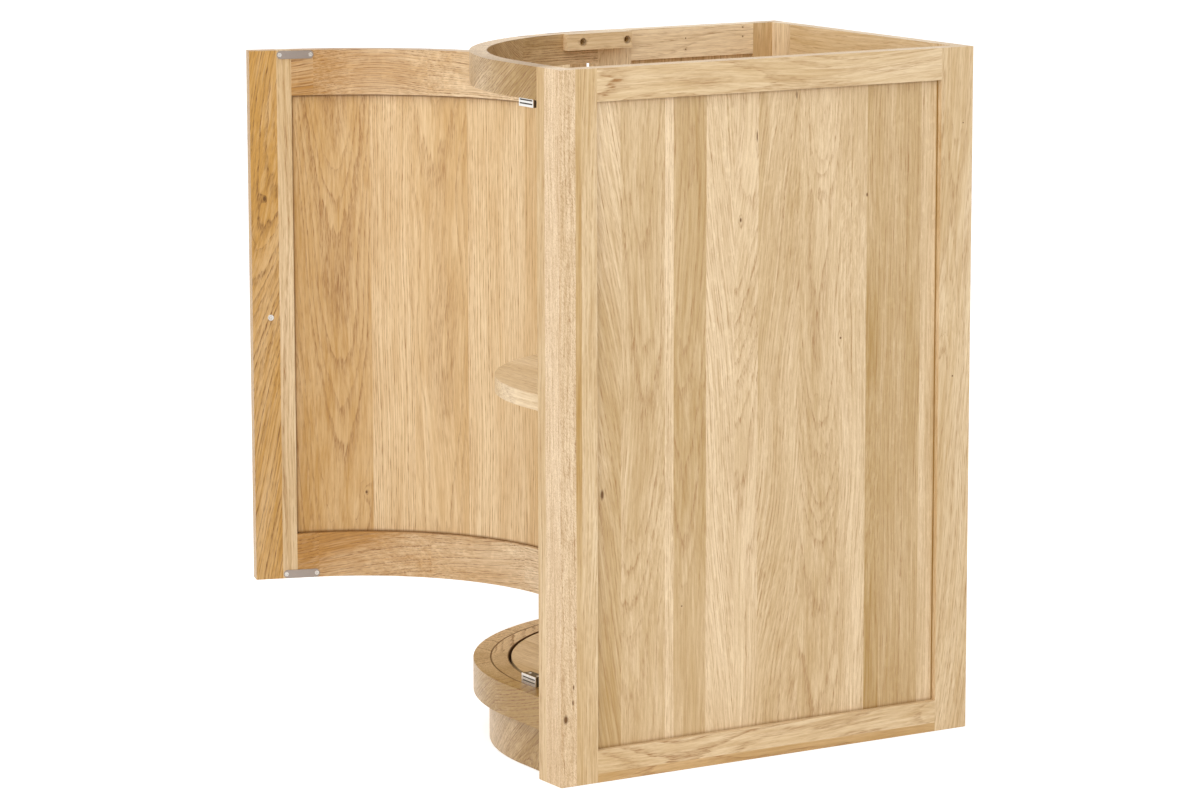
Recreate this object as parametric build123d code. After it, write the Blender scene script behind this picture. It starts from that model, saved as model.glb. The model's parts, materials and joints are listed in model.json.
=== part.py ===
from build123d import *
import math
import os

# A curved end base cabinet in solid oak, with framed and panelled walls and one bowed door that
# stands open. Millimetres. X runs to the right, Y to the back and Z up, as seen from the front.
# The origin is on the floor, under the middle of the cabinet's back face.

# Carcass
width = 450.0
depth = 600.0
height = 870.0
frame_thickness = 22.0
back_thickness = 18.0
rail_height = 40.0
side_front_face = 52.0
side_back_stile = 48.0
left_front_stile = 51.0
back_stile = 43.0
bottom_strip_height = 11.0

# Front post, glued from two strips
post_width = 53.0
post_inner_strip = 18.0
post_tongue = 8.0

# Front curve
curve_radius = 320.0
left_wall_lead = 8.0
curved_rail_height = 40.0
bottom_rail_level = 62.0
stop_thickness = 22.0
stop_overlap = 60.0
glue_gap = 0.3
plinth_setback = 20.0
plinth_thickness = 18.0

# Grooves for the panels and the tenons that fill their ends
groove_width = 8.0
groove_depth = 10.0
groove_end = 8.0
panel_edge_gap = 1.0
back_groove_width = 6.0

# Floor and shelf
floor_thickness = 18.0
floor_front_gap = 4.0
batten = 20.0
batten_end_gap = 2.0
shelf_thickness = 20.0
shelf_level = 442.0
shelf_setback = 40.0
shelf_corner_radius = 250.0
shelf_side_gap = 1.0
shelf_joint_gap = 0.1
peg_diameter = 7.0
peg_pin_diameter = 5.0
peg_pin_length = 6.0
peg_reach = 9.0
peg_setback = 7.0
left_peg_distance = 26.0
back_peg_distance = 28.0

# Blocks and dowels that join the curve to the walls
block_thickness = 18.0
left_block_height = 21.0
left_block_front = 56.0
left_block_back = 41.0
left_block_front_screw = 23.5
left_block_back_screw = 7.0
post_block_drop = 2.5
post_block_rise = 32.0
post_block_length = 122.0
post_block_screw_distance = 24.0
post_block_screw_rise = 16.0
plinth_block_width = 38.0
plinth_block_reach = 45.0
plinth_block_gap = 2.0
dowel_diameter = 8.0
dowel_length = 30.0
dowel_pitch = 20.0
hole_clearance = 0.05

# Wood screws
block_screw_length = 26.0
block_screw_diameter = 4.0
block_screw_head = 7.5
counterbore_diameter = 9.5
counterbore_depth = 5.0
small_screw_length = 14.0
small_screw_diameter = 2.8
small_screw_head = 5.6
screw_rim = 0.4

# How far a cutter passes the face that it opens
overcut = 1.0

# Door
door_thickness = 22.0
door_edge_gap = 2.5
door_bottom_gap = 2.0
door_top_gap = 3.0
door_outer_strip = 37.0
door_inner_strip = 20.0
door_hinge_stile = 57.0
door_rail = 61.0
door_panel_clearance = 0.15
open_angle = 107.0

# Butt hinges
hinge_height = 50.0
hinge_end_distance = 100.0
hinge_leaf = 1.5
hinge_leaf_width = 18.0
hinge_pin_diameter = 2.5
hinge_pin_clearance = 0.05
hinge_axis_outset = 1.0
knuckle_count = 5
knuckle_gap = 0.2
leaf_root_gap = 0.4
hinge_screw_pitch = 17.0
hinge_screw_line = 9.0
hinge_screw_stagger = 3.0

# Magnetic catches and their strike plates
catch_width = 34.0
catch_height = 12.0
catch_depth = 14.0
catch_distance = 65.0
catch_face = 1.2
catch_slot_margin = 2.0
catch_slot_height = 1.8
catch_slot_pitch = 4.4
catch_screw_pitch = 20.0
catch_screw_length = 24.0
strike_length = 50.0
strike_height = 11.0
strike_thickness = 1.0
strike_gap = 0.4
strike_edge_gap = 0.5
strike_screw_pitch = 42.0

# Knob
knob_diameter = 34.0
knob_projection = 28.0
knob_base_diameter = 20.0
knob_neck_diameter = 15.0
knob_foot_height = 2.0
knob_waist_height = 9.0
knob_rim_radius = 4.2
knob_dome_rise = 3.8
knob_edge_distance = 24.5
knob_screw_diameter = 4.0
knob_screw_head = 8.0
knob_screw_head_height = 2.2
knob_screw_bite = 14.0

# Planes and levels that several pieces share
right_outer = width / 2
left_outer = -width / 2
right_inner = right_outer - frame_thickness
left_inner = left_outer + frame_thickness
front = -depth
post_back = front + frame_thickness
post_left = right_outer - post_width
post_joint = post_left + post_inner_strip
curve_x = left_outer + curve_radius
curve_y = front + curve_radius
wall_front = curve_y - left_wall_lead
back_inner = -back_thickness
top_rail_level = height - curved_rail_height
post_block_low = top_rail_level - post_block_drop
bottom_rail_top = bottom_rail_level + curved_rail_height
stop_inset = frame_thickness + glue_gap
stop_end = wall_front + stop_overlap
floor_inset = stop_inset + stop_thickness + floor_front_gap
floor_low = bottom_rail_top - floor_thickness
door_low = bottom_rail_top + door_bottom_gap
door_high = top_rail_level - door_top_gap
door_middle = (door_low + door_high) / 2
door_inside = front + door_thickness
door_right = post_left - door_edge_gap
door_end = wall_front - door_edge_gap
door_cheek = (door_thickness - groove_width) / 2
door_stile_x = door_right - door_outer_strip - door_inner_strip
door_stile_y = door_end - door_hinge_stile
hinge_x = left_outer - hinge_axis_outset
hinge_y = wall_front - door_edge_gap / 2
hinge_levels = (door_low + hinge_end_distance, door_high - hinge_end_distance)
knuckle_radius = hinge_leaf + door_edge_gap / 2
catch_x = post_left - catch_distance
strike_rise = strike_edge_gap + strike_height / 2
strike_levels = (door_low + strike_rise, door_high - strike_rise)
knob_x = door_right - knob_edge_distance


def block(x0, x1, y0, y1, z0, z1):
    """A box between two corners."""
    return Pos(x0, y0, z0) * Box(x1 - x0, y1 - y0, z1 - z0, align=(Align.MIN, Align.MIN, Align.MIN))


def rod(radius, start, direction, length):
    """A round bar from a point along a direction."""
    bar = Cylinder(radius, length, align=(Align.CENTER, Align.CENTER, Align.MIN))
    return Plane(origin=start, z_dir=direction) * bar


def backwards(direction):
    """The opposite direction."""
    return tuple(-c for c in direction)


def screw(length, diameter, head, start, direction):
    """A countersunk wood screw. Its flat head lies at start and its point looks along direction."""
    rim = head / 2
    shank = diameter / 2
    neck = screw_rim + rim - shank
    profile = Polyline(
        (0, 0), (rim, 0), (rim, screw_rim), (shank, neck), (shank, length - diameter), (0, length), (0, 0)
    )
    return Plane(origin=start, z_dir=direction) * revolve(Plane.XZ * make_face(profile), Axis.Z)


def screws_at(places, length, diameter, head):
    """A screw at each place, and the hole that each one needs."""
    play = 2 * hole_clearance
    screws = [screw(length, diameter, head, *place) for place in places]
    holes = [screw(length + play, diameter + play, head + play, *place) for place in places]
    return screws, holes


def small_screws_at(places):
    """A small screw at each place, and its holes."""
    return screws_at(places, small_screw_length, small_screw_diameter, small_screw_head)


# The front curve

def front_line(inset, x_start, y_end, radius=None):
    """The front's line at an inset, from x_start round the corner to y_end. It runs straight where
    the corner stops short of an end. The corner is concentric with the outer face unless it has a
    radius of its own."""
    r = radius or curve_radius - inset
    x, y = left_outer + inset + r, front + inset + r
    first = math.asin((x - x_start) / r) if x_start < x else 0
    last = math.acos((y - y_end) / r) if y_end < y else math.pi / 2
    turns = (first, (first + last) / 2, last)
    start, middle, end = [(x - r * math.sin(a), y - r * math.cos(a)) for a in turns]
    lines = [ThreePointArc(start, middle, end)]
    if x_start > x:
        lines.insert(0, Line((x_start, front + inset), start))
    if y_end > y:
        lines.append(Line(end, (end[0], y_end)))
    return lines


def bent_board(inset, thickness, z0, z1, x_start, y_end):
    """A board that follows the front curve, with one end square to X and the other square to Y."""
    outer = front_line(inset, x_start, y_end)
    inner = front_line(inset + thickness, x_start, y_end)
    ends = [Line(outer[0] @ 0, inner[0] @ 0), Line(outer[-1] @ 1, inner[-1] @ 1)]
    return Pos(0, 0, z0) * extrude(make_face(outer + inner + ends), z1 - z0)


def flat_board(lines, x_left, y_back, z0, z1):
    """A level board behind a front line, stepped out to x_left and squared off at y_back."""
    first, last = lines[0] @ 0, lines[-1] @ 1
    rest = Polyline(last, (x_left, last.Y), (x_left, y_back), (first.X, y_back), first)
    return Pos(0, 0, z0) * extrude(make_face(lines + [rest]), z1 - z0)


# Walls of frame and panel. Each is laid out with u along the wall, w through it and Z up.

def wall_stile(u0, u1, thickness, groove, groove_u):
    """An upright with a stopped groove at groove_u, along the edge that faces the panel."""
    cheek = (thickness - groove) / 2
    stile = block(u0, u1, 0, thickness, 0, height)
    return stile - block(*groove_u, cheek, cheek + groove, groove_end, height - groove_end)


def wall_rail(u0, u1, thickness, groove, z0, z1, panel_above):
    """A cross rail: a groove along its panel edge, and stub tenons that fill the stiles' grooves."""
    cheek = (thickness - groove) / 2
    if panel_above:
        groove_z = (z1 - groove_depth, z1)
        tenon_z = (max(z0, groove_end), z1 - groove_depth)
    else:
        groove_z = (z0, z0 + groove_depth)
        tenon_z = (z0 + groove_depth, height - groove_end)
    rail = block(u0, u1, 0, thickness, z0, z1) - block(u0, u1, cheek, cheek + groove, *groove_z)
    return rail + block(u0 - groove_depth, u1 + groove_depth, cheek, cheek + groove, *tenon_z)


def wall_panel(u0, u1, thickness, groove, z0, z1):
    """The panel, held in the grooves all round and free to move across its width."""
    cheek = (thickness - groove) / 2
    tongue = groove_depth - panel_edge_gap
    return block(u0 - tongue, u1 + tongue, cheek, cheek + groove, z0 - tongue, z1 + tongue)


def framed_wall(length, thickness, groove, first_stile, last_stile, rail_low):
    """First stile, last stile, top rail, bottom rail and panel of one wall."""
    u0 = first_stile
    u1 = length - last_stile
    panel_top = height - rail_height
    return [
        wall_stile(0, u0, thickness, groove, (u0 - groove_depth, u0)),
        wall_stile(u1, length, thickness, groove, (u1, u1 + groove_depth)),
        wall_rail(u0, u1, thickness, groove, panel_top, height, False),
        wall_rail(u0, u1, thickness, groove, rail_low, rail_height, True),
        wall_panel(u0, u1, thickness, groove, rail_height, panel_top),
    ]


def right_wall():
    """The straight side wall. Its front stile is narrow, because the post covers its edge, and its
    bottom rail is made up to the floor with a strip."""
    stile = side_front_face - frame_thickness
    length = depth - frame_thickness
    place = Pos(right_outer, post_back, 0) * Rot(0, 0, 90)
    pieces = framed_wall(
        length, frame_thickness, groove_width, stile, side_back_stile, bottom_strip_height
    )
    cheek = (frame_thickness - post_tongue) / 2
    pieces[0] += block(-post_tongue, 0, cheek, cheek + post_tongue, groove_end, height - groove_end)
    pieces.append(block(stile, length - side_back_stile, 0, frame_thickness, 0, bottom_strip_height))
    names = ("right_front_stile", "right_back_stile", "right_top_rail", "right_bottom_rail")
    names += ("right_panel", "right_bottom_strip")
    return {name: place * piece for name, piece in zip(names, pieces)}


def left_wall():
    """The short side wall behind the curve, which carries the door."""
    place = Pos(left_outer, 0, 0) * Rot(0, 0, -90)
    pieces = framed_wall(
        -wall_front, frame_thickness, groove_width, side_back_stile, left_front_stile, 0
    )
    names = ("left_back_stile", "left_front_stile", "left_top_rail", "left_bottom_rail", "left_panel")
    return {name: place * piece for name, piece in zip(names, pieces)}


def back_wall():
    """The back, between the two side walls."""
    place = Pos(left_inner, back_inner, 0)
    length = right_inner - left_inner
    pieces = framed_wall(length, back_thickness, back_groove_width, back_stile, back_stile, 0)
    names = ("back_left_stile", "back_right_stile", "back_top_rail", "back_bottom_rail", "back_panel")
    return {name: place * piece for name, piece in zip(names, pieces)}


def front_post():
    """The post at the front corner: two strips glued edge to edge, grooved for the wall's tongue."""
    cheek = (frame_thickness - post_tongue) / 2
    tongue_x = right_outer - cheek
    outer = block(post_joint, right_outer, front, post_back, 0, height)
    groove_x = (tongue_x - post_tongue, tongue_x)
    outer -= block(*groove_x, post_back - post_tongue, post_back, groove_end, height - groove_end)
    inner = block(post_left, post_joint, front, post_back, 0, height)
    return {"post_outer_strip": outer, "post_inner_strip": inner}


# The curved front of the carcass, and what joins it to the post and the left wall

def curved_rails():
    """Curved rails above and below the door, the inner layer of the lower one, and the plinth."""
    low, top = bottom_rail_level, bottom_rail_top
    return {
        "top_curved_rail": bent_board(0, frame_thickness, top_rail_level, height, post_left, wall_front),
        "bottom_curved_rail": bent_board(0, frame_thickness, low, top, post_left, wall_front),
        "bottom_curved_stop": bent_board(stop_inset, stop_thickness, low, top, right_inner, stop_end),
        "curved_plinth": bent_board(plinth_setback, plinth_thickness, 0, low, post_left, wall_front),
    }


def dowels(radius):
    """Two dowels at each end of both curved rails, or with a larger radius their holes."""
    found = []
    middle = frame_thickness / 2
    for level in (bottom_rail_level, top_rail_level):
        for side in (-1, 1):
            z = level + curved_rail_height / 2 + side * dowel_pitch / 2
            post_end = (post_left - dowel_length / 2, front + middle, z)
            wall_end = (left_outer + middle, wall_front - dowel_length / 2, z)
            found.append(rod(radius, post_end, (1, 0, 0), dowel_length))
            found.append(rod(radius, wall_end, (0, 1, 0), dowel_length))
    return found


def fixing_blocks():
    """Blocks across both joints of the top curved rail, cut to the curve. The upper catch hangs
    from the one behind the post, which reaches a little below the rail."""
    low, high = post_block_low - overcut, height + overcut
    rail_room = bent_board(0, frame_thickness, low, high, post_left, wall_front)
    left = block(
        left_inner, left_inner + block_thickness,
        wall_front - left_block_front, wall_front + left_block_back, height - left_block_height, height,
    )
    post = block(
        right_inner - post_block_length, right_inner,
        post_back, post_back + block_thickness, post_block_low, top_rail_level + post_block_rise,
    )
    return {"left_fixing_block": left - rail_room, "post_fixing_block": post - rail_room}


def block_screw_places():
    """Head point and direction of the screws in the two fixing blocks."""
    sink = block_thickness - counterbore_depth
    left_x, left_z = left_inner + sink, height - left_block_height / 2
    post_y, post_z = post_back + sink, top_rail_level + post_block_screw_rise
    return [
        ((left_x, wall_front - left_block_front + left_block_front_screw, left_z), (-1, 0, 0)),
        ((left_x, wall_front + left_block_back - left_block_back_screw, left_z), (-1, 0, 0)),
        ((post_left - post_block_screw_distance, post_y, post_z), (0, -1, 0)),
        ((post_left + post_inner_strip / 2, post_y, post_z), (0, -1, 0)),
    ]


def counterbores():
    """The wide mouths that sink the block screws' heads."""
    radius = counterbore_diameter / 2
    length = counterbore_depth + overcut
    return [rod(radius, start, backwards(way), length) for start, way in block_screw_places()]


def plinth_blocks():
    """Corner blocks behind both ends of the plinth, cut to its curve."""
    top = bottom_rail_level - plinth_block_gap
    depth_in = plinth_setback + plinth_thickness
    room = bent_board(0, depth_in, -overcut, top + overcut, post_left, wall_front)
    left = block(
        left_inner, left_inner + plinth_block_width,
        wall_front - plinth_block_reach, wall_front + plinth_block_reach, 0, top,
    )
    right = block(
        post_left - plinth_block_reach, right_inner,
        post_back, post_back + plinth_block_width, 0, top,
    )
    return {"plinth_block_left": left - room, "plinth_block_right": right - room}


# Floor and shelf

def floor_board():
    """The bottom of the cupboard, level with the curved rail and a small gap behind it."""
    lines = front_line(floor_inset, right_inner, stop_end + floor_front_gap)
    return flat_board(lines, left_inner, back_inner, floor_low, bottom_rail_top)


def floor_battens():
    """Battens on the walls that carry the floor board."""
    low = floor_low - batten
    back = back_inner - batten
    left_start = stop_end + floor_front_gap + batten_end_gap
    right_start = front + floor_inset + batten_end_gap
    return {
        "floor_batten_back": block(left_inner, right_inner, back, back_inner, low, floor_low),
        "floor_batten_left": block(left_inner, left_inner + batten, left_start, back, low, floor_low),
        "floor_batten_right": block(right_inner - batten, right_inner, right_start, back, low, floor_low),
    }


def shelf():
    """The shelf, two boards glued edge to edge with a small gap at the walls. The front one is
    rounded inside the door's curve, and the back one fills the width between the walls."""
    gap = shelf_side_gap
    right, joint = right_inner - gap, wall_front + gap
    low, top = shelf_level, shelf_level + shelf_thickness
    lines = front_line(shelf_setback, right, joint, shelf_corner_radius)
    first, last = lines[0] @ 0, lines[-1] @ 1
    edges = Polyline(last, (right, joint), first)
    front_board = Pos(0, 0, low) * extrude(make_face(lines + [edges]), shelf_thickness)
    back_board = block(left_inner + gap, right, joint + shelf_joint_gap, back_inner - gap, low, top)
    return Compound([front_board, back_board])


def peg_places():
    """Where each shelf peg leaves its wall, and the way into the cupboard."""
    z = shelf_level - peg_diameter / 2
    back = -back_peg_distance
    return [
        ((right_inner, front + shelf_setback + peg_setback, z), (-1, 0, 0)),
        ((right_inner, back, z), (-1, 0, 0)),
        ((left_inner, wall_front + left_peg_distance, z), (1, 0, 0)),
        ((left_inner, back, z), (1, 0, 0)),
    ]


def peg_pins(radius, length):
    """The pins of the pegs inside the walls, or with a little more of both their holes."""
    return [rod(radius, start, backwards(way), length) for start, way in peg_places()]


def shelf_pegs():
    """Turned pegs under the shelf's corners."""
    reach = [rod(peg_diameter / 2, start, way, peg_reach) for start, way in peg_places()]
    pins = peg_pins(peg_pin_diameter / 2, peg_pin_length)
    return [a + b for a, b in zip(reach, pins)]


# The door, modelled shut

def door_rail_piece(z0, z1, panel_edge, tenon_end):
    """A curved rail with a groove along its panel edge and a tenon at both ends."""
    inward = groove_depth if tenon_end > panel_edge else -groove_depth
    groove_bottom = panel_edge + inward
    groove_z = sorted((panel_edge, groove_bottom))
    tenon_z = sorted((groove_bottom, tenon_end))
    ends = (door_stile_x + groove_depth, door_stile_y + groove_depth)
    rail = bent_board(0, door_thickness, z0, z1, door_stile_x, door_stile_y)
    rail -= bent_board(door_cheek, groove_width, *groove_z, *ends)
    return rail + bent_board(door_cheek, groove_width, *tenon_z, *ends)


def door_frame():
    """Stiles and rails of the door, grooved for the panel and tenoned at the corners. The stile at
    the free edge is glued from two strips, and all uprights follow the front's line."""
    low, high = door_low, door_high
    joint = door_right - door_outer_strip
    groove_low, groove_high = low + groove_end, high - groove_end
    panel_low, panel_high = low + door_rail, high - door_rail
    groove_ends = (door_stile_x + groove_depth, door_stile_y + groove_depth)
    groove = bent_board(door_cheek, groove_width, groove_low, groove_high, *groove_ends)
    blank = bent_board(0, door_thickness, low, high, door_right, door_end)
    x, y, z = left_outer - overcut, front - overcut, (low - overcut, high + overcut)
    before_joint = block(x, joint, y, door_end + overcut, *z)
    before_stile = block(x, door_stile_x, y, door_end + overcut, *z)
    before_hinge_stile = block(x, right_outer, y, door_stile_y, *z)
    return {
        "door_stile_outer_strip": blank - before_joint,
        "door_stile_inner_strip": (blank & before_joint) - before_stile - groove,
        "door_hinge_stile": blank - before_hinge_stile - groove,
        "door_top_rail": door_rail_piece(panel_high, high, panel_high, groove_high),
        "door_bottom_rail": door_rail_piece(low, panel_low, panel_low, groove_low),
    }


def door_panel():
    """The bowed panel, a loose fit in the door's grooves."""
    tongue = groove_depth - panel_edge_gap
    slack = door_panel_clearance
    z0, z1 = door_low + door_rail - tongue, door_high - door_rail + tongue
    return bent_board(
        door_cheek + slack, groove_width - 2 * slack, z0, z1, door_stile_x + tongue, door_stile_y + tongue
    )


# Butt hinges. Side is 1 for what is on the wall and -1 for what is on the door.

def leaf_depth(side):
    """The Y range of a leaf, from its face to the bottom of its seat in the wood."""
    return sorted((hinge_y + side * door_edge_gap / 2, hinge_y + side * knuckle_radius))


def hinge_leaf_piece(side, level):
    """One leaf and its knuckles, bored for the pin."""
    y = leaf_depth(side)
    low = level - hinge_height / 2
    start = hinge_x + knuckle_radius + leaf_root_gap
    leaf = block(start, hinge_x + hinge_leaf_width, *y, low, low + hinge_height)
    pitch = hinge_height / knuckle_count
    first = 0 if side == 1 else 1
    for i in range(first, knuckle_count, 2):
        z0 = low + i * pitch + knuckle_gap / 2
        z1 = low + (i + 1) * pitch - knuckle_gap / 2
        leaf += block(hinge_x, start, *y, z0, z1)
        leaf += rod(knuckle_radius, (hinge_x, hinge_y, z0), (0, 0, 1), z1 - z0)
    bore = hinge_pin_diameter / 2 + hinge_pin_clearance
    return leaf - rod(bore, (hinge_x, hinge_y, low - overcut), (0, 0, 1), hinge_height + 2 * overcut)


def hinge_mortises(side):
    """The shallow seats for both leaves on one side, open to the outer face."""
    y = leaf_depth(side)
    outside = hinge_x - knuckle_radius
    return [
        block(outside, hinge_x + hinge_leaf_width, *y, level - hinge_height / 2, level + hinge_height / 2)
        for level in hinge_levels
    ]


def hinge_pin(level):
    """A plain pin as long as the hinge."""
    start = (hinge_x, hinge_y, level - hinge_height / 2)
    return rod(hinge_pin_diameter / 2, start, (0, 0, 1), hinge_height)


def hinge_screw_places(side):
    """Head points of the three screws in both leaves on one side, and their direction."""
    y = hinge_y + side * door_edge_gap / 2
    places = []
    for level in hinge_levels:
        for i in (-1, 0, 1):
            x = hinge_x + hinge_screw_line + (0 if i else hinge_screw_stagger)
            places.append(((x, y, level + i * hinge_screw_pitch), (0, side, 0)))
    return places


# Magnetic catches, strike plates and the knob

def door_back_y(x):
    """Y of the inner face of the shut door at x: level on its straight run, further back round the
    curve."""
    sideways = max(curve_x - x, 0)
    return curve_y - math.sqrt((curve_radius - door_thickness) ** 2 - sideways**2)


def catch_front():
    """Y of the catches' faces, clear of the strike plate and of the door's curve beside it."""
    return door_back_y(catch_x - catch_width / 2) + strike_thickness + strike_gap


def catch(z0):
    """The catch's plastic body, and the steel face with two slots in front of it."""
    x0, x1, z1 = catch_x - catch_width / 2, catch_x + catch_width / 2, z0 + catch_height
    y0 = catch_front()
    back_of_face = y0 + catch_face
    body = block(x0, x1, back_of_face, y0 + catch_depth, z0, z1)
    face = block(x0, x1, y0, back_of_face, z0, z1)
    for side in (-1, 1):
        low = (z0 + z1 + side * catch_slot_pitch - catch_slot_height) / 2
        high = low + catch_slot_height
        face -= block(x0 + catch_slot_margin, x1 - catch_slot_margin, y0, back_of_face, low, high)
    return body, face


def catch_screw_places():
    """Head points and directions of the two upright screws in each catch."""
    y = catch_front() + (catch_face + catch_depth) / 2
    ends = ((bottom_rail_top + catch_height, -1), (post_block_low - catch_height, 1))
    return [
        ((catch_x + side * catch_screw_pitch / 2, y, z), (0, 0, way)) for z, way in ends for side in (-1, 1)
    ]


def strike_plate(z):
    """A flat steel plate with round ends on the inner face of the door, in line with the catches."""
    plate = extrude(SlotOverall(strike_length, strike_height), strike_thickness)
    return Pos(catch_x, door_inside, z) * Rot(-90, 0, 0) * plate


def strike_screw_places():
    """Head points and directions of the screws in the strike plates."""
    y = door_inside + strike_thickness
    half = strike_screw_pitch / 2
    return [((catch_x + side * half, y, z), (0, -1, 0)) for z in strike_levels for side in (-1, 1)]


def knob():
    """A turned knob: a foot, a cove, and a domed head with a round rim. The dome meets the rim
    without an edge, which sets the dome's radius."""
    rim_x = knob_diameter / 2 - knob_rim_radius
    rim_z = knob_projection - knob_dome_rise - knob_rim_radius
    dome_radius = rim_x**2 / (2 * knob_dome_rise) + knob_dome_rise / 2 + knob_rim_radius
    dome_z = knob_projection - dome_radius
    lean = math.atan2(rim_x, rim_z - dome_z)
    middle, shoulder = [
        (dome_radius * math.sin(a), dome_z + dome_radius * math.cos(a)) for a in (lean / 2, lean)
    ]
    foot = (knob_base_diameter / 2, 0)
    edge = (knob_base_diameter / 2, knob_foot_height)
    waist = (knob_neck_diameter / 2, knob_waist_height)
    under = (rim_x, rim_z - knob_rim_radius)
    rim = (knob_diameter / 2, rim_z)
    top = (0, knob_projection)
    profile = [
        Line((0, 0), foot),
        Line(foot, edge),
        ThreePointArc(edge, waist, under),
        ThreePointArc(under, rim, shoulder),
        ThreePointArc(shoulder, middle, top),
        Line(top, (0, 0)),
    ]
    turned = revolve(Plane.XZ * make_face(profile), Axis.Z)
    return Plane(origin=(knob_x, front, door_middle), z_dir=(0, -1, 0)) * turned


def knob_screw():
    """A pan-head machine screw through the stile into the knob. Its head shows inside the door."""
    start = (knob_x, door_inside, door_middle)
    head = rod(knob_screw_head / 2, start, (0, 1, 0), knob_screw_head_height)
    return head + rod(knob_screw_diameter / 2, start, (0, -1, 0), door_thickness + knob_screw_bite)


def knob_hole():
    """The hole for the knob's screw, through the stile and into the knob."""
    start = (knob_x, door_inside, door_middle)
    length = door_thickness + knob_screw_bite + hole_clearance
    return rod(knob_screw_diameter / 2 + hole_clearance, start, (0, -1, 0), length)


# Putting the cabinet together

def cut(pieces, names, cutters):
    """Take every cutter out of each named piece."""
    for name in names:
        for cutter in cutters:
            pieces[name] -= cutter


def carcass_pieces():
    """Everything that stands still, before the holes."""
    pieces = front_post() | right_wall() | left_wall() | back_wall() | curved_rails()
    pieces |= fixing_blocks() | plinth_blocks() | floor_battens()
    pieces["floor_board"] = floor_board()
    pieces["shelf"] = shelf()
    for name, level in (("lower", bottom_rail_top), ("upper", post_block_low - catch_height)):
        pieces[f"{name}_catch_body"], pieces[f"{name}_catch_face"] = catch(level)
    for name, level in zip(("lower", "upper"), hinge_levels):
        pieces[f"{name}_hinge_wall_leaf"] = hinge_leaf_piece(1, level)
        pieces[f"{name}_hinge_pin"] = hinge_pin(level)
    return pieces


def door_pieces():
    """Everything that swings, before the holes."""
    pieces = door_frame()
    pieces["door_panel"] = door_panel()
    pieces["door_knob"] = knob()
    for name, z in zip(("lower", "upper"), strike_levels):
        pieces[f"{name}_strike_plate"] = strike_plate(z)
    for name, level in zip(("lower", "upper"), hinge_levels):
        pieces[f"{name}_hinge_door_leaf"] = hinge_leaf_piece(-1, level)
    return pieces


def fit_joints(pieces):
    """Dowels, pegs and block screws of the carcass, with the holes that they fill."""
    pieces["curved_rail_dowels"] = Compound(dowels(dowel_diameter / 2))
    ends = ("top_curved_rail", "bottom_curved_rail", "left_front_stile", "post_inner_strip")
    cut(pieces, ends, dowels(dowel_diameter / 2 + hole_clearance))

    places = block_screw_places()
    screws, holes = screws_at(places, block_screw_length, block_screw_diameter, block_screw_head)
    pieces["fixing_block_screws"] = Compound(screws)
    blocks = ("left_fixing_block", "post_fixing_block")
    cut(pieces, blocks, counterbores())
    cut(pieces, (*blocks, "top_curved_rail", "left_front_stile", "post_inner_strip"), holes)

    pieces["shelf_pegs"] = Compound(shelf_pegs())
    peg_holes = peg_pins(peg_pin_diameter / 2 + hole_clearance, peg_pin_length + hole_clearance)
    stiles = ("left_front_stile", "left_back_stile", "right_front_stile", "right_back_stile")
    cut(pieces, stiles, peg_holes)


def fit_fittings(pieces):
    """Screws of the catches and of the hinges' wall leaves, with their holes and seats."""
    places = catch_screw_places()
    screws, holes = screws_at(places, catch_screw_length, small_screw_diameter, small_screw_head)
    pieces["catch_screws"] = Compound(screws)
    seats = ("lower_catch_body", "upper_catch_body", "bottom_curved_stop", "post_fixing_block")
    cut(pieces, seats, holes)

    screws, holes = small_screws_at(hinge_screw_places(1))
    pieces["hinge_wall_screws"] = Compound(screws)
    cut(pieces, ("left_front_stile",), hinge_mortises(1))
    cut(pieces, ("left_front_stile", "lower_hinge_wall_leaf", "upper_hinge_wall_leaf"), holes)


def fit_door(pieces):
    """Screws of the door, with their holes and seats."""
    screws, holes = small_screws_at(hinge_screw_places(-1))
    pieces["hinge_door_screws"] = Compound(screws)
    cut(pieces, ("door_hinge_stile",), hinge_mortises(-1))
    cut(pieces, ("door_hinge_stile", "lower_hinge_door_leaf", "upper_hinge_door_leaf"), holes)

    screws, holes = small_screws_at(strike_screw_places())
    pieces["strike_plate_screws"] = Compound(screws)
    plates = ("lower_strike_plate", "upper_strike_plate")
    wood = ("door_top_rail", "door_bottom_rail", "door_stile_inner_strip", "door_stile_outer_strip")
    cut(pieces, wood, [pieces[name] for name in plates])
    cut(pieces, (*plates, *wood), holes)

    pieces["knob_screw"] = knob_screw()
    cut(pieces, ("door_stile_outer_strip", "door_knob"), [knob_hole()])


def main():
    """Build the carcass and the door, swing the door open and write every piece."""
    os.makedirs("parts", exist_ok=True)
    pieces = carcass_pieces()
    fit_joints(pieces)
    fit_fittings(pieces)
    door = door_pieces()
    fit_door(door)
    hinge_line = Axis((hinge_x, hinge_y, 0), (0, 0, 1))
    for name, piece in door.items():
        pieces[name] = piece.rotate(hinge_line, -open_angle)
    for name, piece in pieces.items():
        piece.label = name
        export_step(piece, f"parts/{name}.step")


main()
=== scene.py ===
import json
import math

import bpy
import numpy as np
from mathutils import Matrix, Vector


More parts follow.
